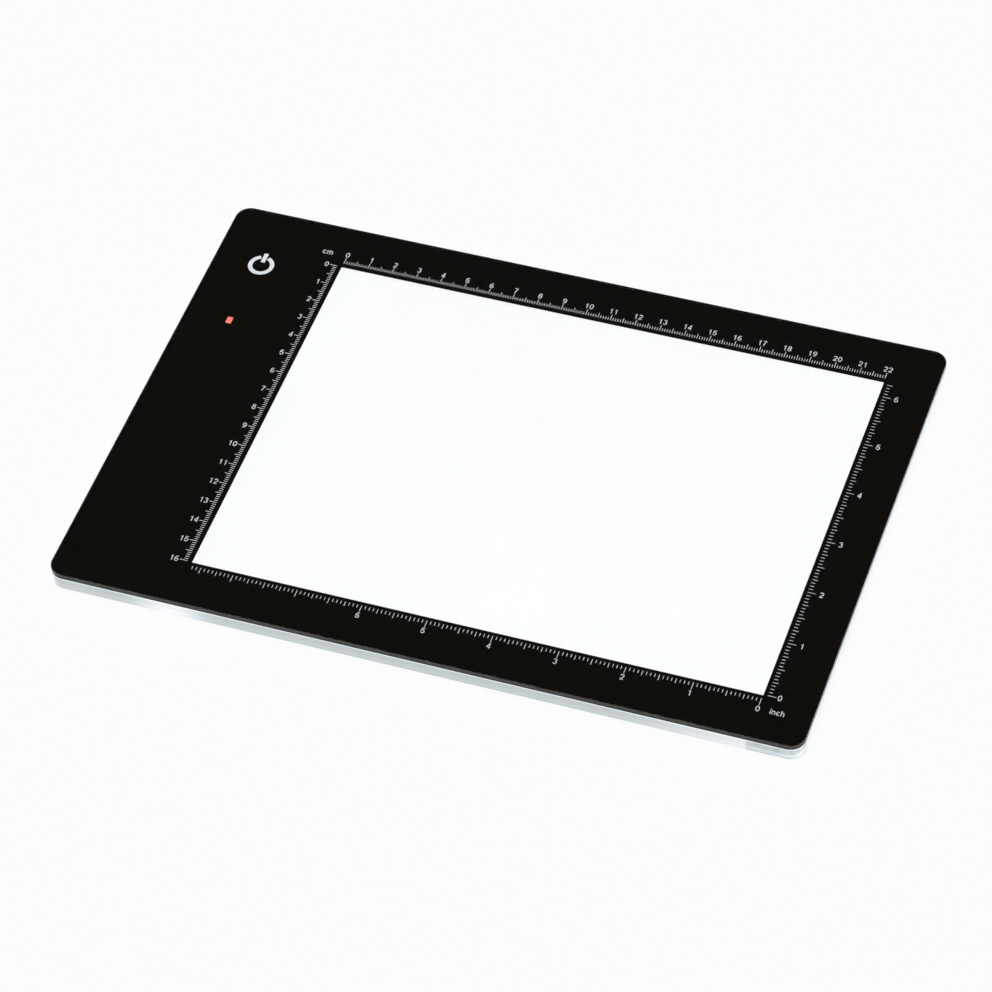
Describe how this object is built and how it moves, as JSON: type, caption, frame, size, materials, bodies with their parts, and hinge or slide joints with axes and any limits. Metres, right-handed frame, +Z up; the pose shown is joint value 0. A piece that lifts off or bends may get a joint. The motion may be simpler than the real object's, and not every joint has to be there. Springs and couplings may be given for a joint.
{
  "type": "light box",
  "caption": "Slim battery light box: printed clear cover with a lit window and rulers on a clear acrylic body, over an edge-lit light guide.",
  "frame": {"origin": "centre of the rectangular outline, on the surface that the four feet stand on", "axes": "+X along the long side from the switch end to the window end, +Y to the rear edge, +Z up out of the lit window"},
  "size_m": [0.291, 0.201, 0.0088],
  "materials": {
    "clear_acrylic": "polished clear acrylic, machined edges",
    "black_print": "black screen print behind clear acrylic",
    "pale_tape": "translucent bonding tape",
    "opal_sheet": "opal diffusing sheet, lit from behind",
    "white_plastic": "fine-grained white sheet",
    "white_film": "white reflector film",
    "rubber": "moulded rubber",
    "steel": "bright zinc-plated steel",
    "white_board": "white solder mask",
    "green_board": "green solder mask",
    "phosphor": "yellow phosphor in white packages",
    "black_plastic": "moulded black plastic",
    "ferrite": "ferrite",
    "ceramic_chip": "fired ceramic with tinned ends",
    "foil_pouch": "laminated aluminium foil",
    "foam": "closed-cell foam",
    "amber_film": "polyimide film",
    "red_lens": "tinted light pipe",
    "red_wire": "insulation",
    "black_wire": "insulation",
    "white_print": "white screen print behind clear acrylic",
    "white_nylon": "natural nylon"
  },
  "bodies": {
    "root": {"cover_sheet": "clear_acrylic", "mask_film": "black_print", "bonding_tape": "pale_tape", "body_frame": "clear_acrylic", "back_plate": "white_plastic", "screw_front_left": "steel", "screw_front_right": "steel", "screw_rear_left": "steel", "screw_rear_right": "steel", "foot_front_left": "rubber", "foot_front_right": "rubber", "foot_rear_left": "rubber", "foot_rear_right": "rubber", "reflector_sheet": "white_film", "light_guide": "clear_acrylic", "diffuser_sheet": "opal_sheet", "led_bar_left": "white_board", "led_left_1": "phosphor", "led_left_2": "phosphor", "led_left_3": "phosphor", "led_left_4": "phosphor", "led_left_5": "phosphor", "led_left_6": "phosphor", "led_left_7": "phosphor", "led_left_8": "phosphor", "led_left_9": "phosphor", "led_left_10": "phosphor", "led_bar_right": "white_board", "led_right_1": "phosphor", "led_right_2": "phosphor", "led_right_3": "phosphor", "led_right_4": "phosphor", "led_right_5": "phosphor", "led_right_6": "phosphor", "led_right_7": "phosphor", "led_right_8": "phosphor", "led_right_9": "phosphor", "led_right_10": "phosphor", "led_lead_left": "amber_film", "led_lead_right": "amber_film", "board_tape": "foam", "control_board": "green_board", "touch_controller": "black_plastic", "led_driver": "black_plastic", "charge_controller": "black_plastic", "input_capacitor": "ceramic_chip", "output_capacitor": "ceramic_chip", "battery_socket": "white_nylon", "indicator_led": "phosphor", "power_inductor": "ferrite", "touch_electrode": "foam", "indicator_light_pipe": "red_lens", "usb_socket_shell": "steel", "usb_socket_tongue": "black_plastic", "battery_tape": "foam", "battery_cell": "foil_pouch", "battery_protection_board": "green_board", "battery_plug": "white_nylon", "battery_wire_red": "red_wire", "battery_wire_black": "black_wire"}
  },
  "joints": []
}
